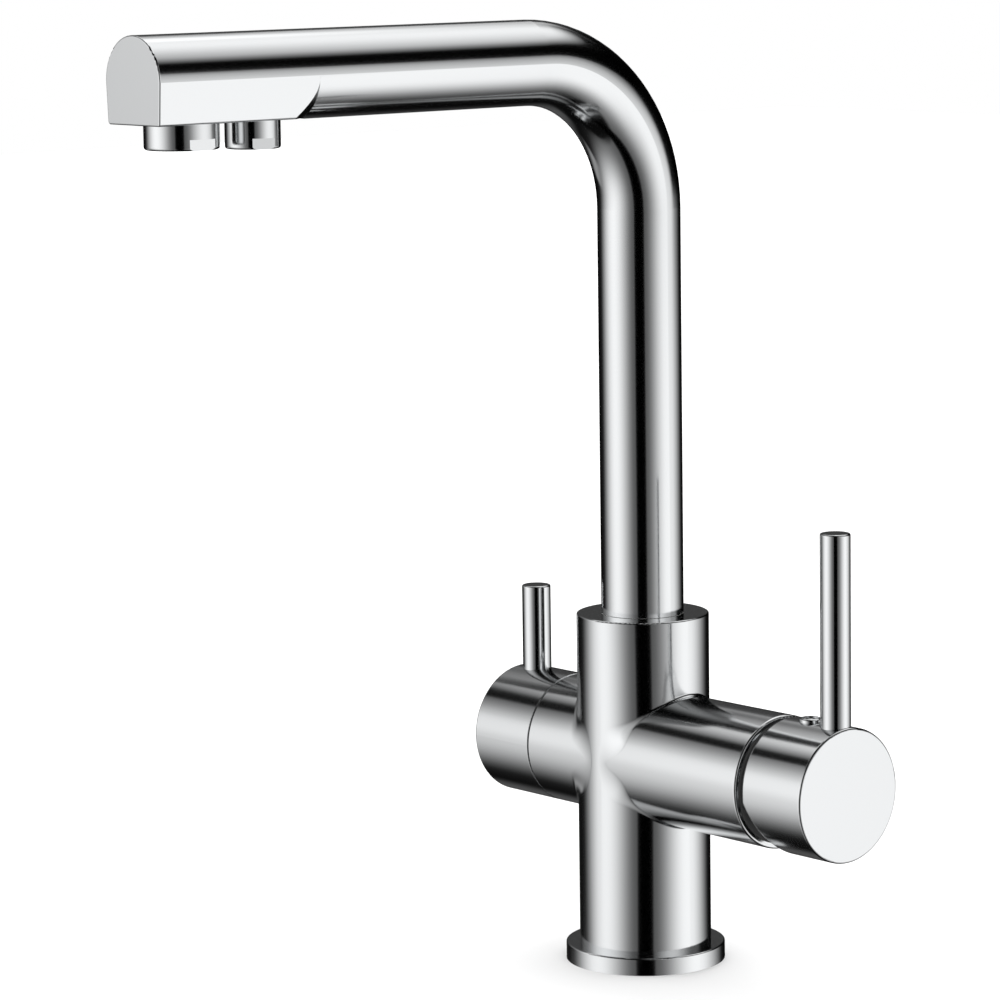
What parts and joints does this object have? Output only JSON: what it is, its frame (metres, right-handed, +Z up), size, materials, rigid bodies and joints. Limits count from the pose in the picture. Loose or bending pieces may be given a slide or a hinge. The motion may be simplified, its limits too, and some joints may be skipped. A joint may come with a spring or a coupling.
{
  "type": "three way kitchen tap",
  "caption": "Pillar kitchen tap with a swivelling square spout, a side mixer handle, a filtered water handle and two separate outlets.",
  "frame": {"origin": "centre of the base in the plane of the worktop, on the axis of the fixing stud", "axes": "+Z up the pillar, -Y along the spout, +X along the mixer arm, -X along the filtered water arm"},
  "size_m": [0.161, 0.2332, 0.3215],
  "materials": {
    "polished_chrome": "polished chrome plate on brass",
    "seal_rubber": "black moulded rubber",
    "raw_brass": "turned brass",
    "screw_steel": "plain stainless steel",
    "valve_plastic": "moulded acetal",
    "ceramic_white": "lapped ceramic"
  },
  "bodies": {
    "tap_body": {"base_flange": "polished_chrome", "base_seal": "seal_rubber", "body_casting": "polished_chrome", "spout_bearing_ring": "valve_plastic", "spout_lock_screw": "screw_steel", "inner_tube_seal": "seal_rubber", "cartridge_base": "valve_plastic", "cold_port_seal": "seal_rubber", "hot_port_seal": "seal_rubber", "mixed_port_seal": "seal_rubber", "mixer_fixed_disc": "ceramic_white", "cartridge_housing": "valve_plastic", "cartridge_nut": "raw_brass", "cartridge_cover_dome": "polished_chrome", "filter_seat_seal": "seal_rubber", "filter_fixed_disc": "ceramic_white", "filter_valve_housing": "raw_brass"},
    "spout": {"spout_tube": "polished_chrome", "spout_fitting": "raw_brass", "spout_seal_lower": "seal_rubber", "spout_seal_upper": "seal_rubber", "filtered_water_tube": "valve_plastic", "outlet_block": "valve_plastic", "main_outlet_ring": "polished_chrome", "main_aerator_insert": "valve_plastic", "main_outlet_washer": "seal_rubber", "filtered_outlet_ring": "polished_chrome", "filtered_aerator_insert": "valve_plastic", "filtered_outlet_washer": "seal_rubber"},
    "mixer_rotor": {"cartridge_rotor": "valve_plastic", "spindle_pin": "screw_steel"},
    "mixer_handle": {"mixer_spindle": "raw_brass", "mixer_handle_cap": "polished_chrome", "mixer_lever_pin": "polished_chrome", "mixer_grub_screw": "screw_steel", "index_plug": "polished_chrome"},
    "mixer_disc": {"disc_carrier": "valve_plastic", "mixer_moving_disc": "ceramic_white"},
    "filter_handle": {"filter_stem": "raw_brass", "filter_moving_disc": "ceramic_white", "filter_stem_seal_inner": "seal_rubber", "filter_stem_seal_outer": "seal_rubber", "filter_stem_clip": "screw_steel", "filter_handle_cap": "polished_chrome", "filter_lever_pin": "polished_chrome", "filter_grub_screw": "screw_steel"}
  },
  "joints": [
    {"name": "spout_swivel", "type": "hinge", "parent": "tap_body", "child": "spout", "pos_m": [0, 0, 0.12], "axis": [0, 0, 1], "range_deg": [-180, 180]},
    {"name": "mixer_temperature", "type": "hinge", "parent": "tap_body", "child": "mixer_rotor", "pos_m": [0.059, 0, 0.0715], "axis": [1, 0, 0], "range_deg": [-45, 45]},
    {"name": "mixer_flow", "type": "hinge", "parent": "mixer_rotor", "child": "mixer_handle", "pos_m": [0.059, 0, 0.0715], "axis": [0, 1, 0], "range_deg": [0, 22]},
    {"name": "mixer_disc_slide", "type": "slide", "parent": "mixer_rotor", "child": "mixer_disc", "axis": [0, 0, 1], "range_m": [0, 0.0036]},
    {"name": "filter_turn", "type": "hinge", "parent": "tap_body", "child": "filter_handle", "pos_m": [-0.055, 0, 0.0715], "axis": [1, 0, 0], "range_deg": [0, 90]}
  ],
  "couplings": [
    {"joint": "mixer_disc_slide", "follows": "mixer_flow", "m_per_rad": 0.00927}
  ]
}
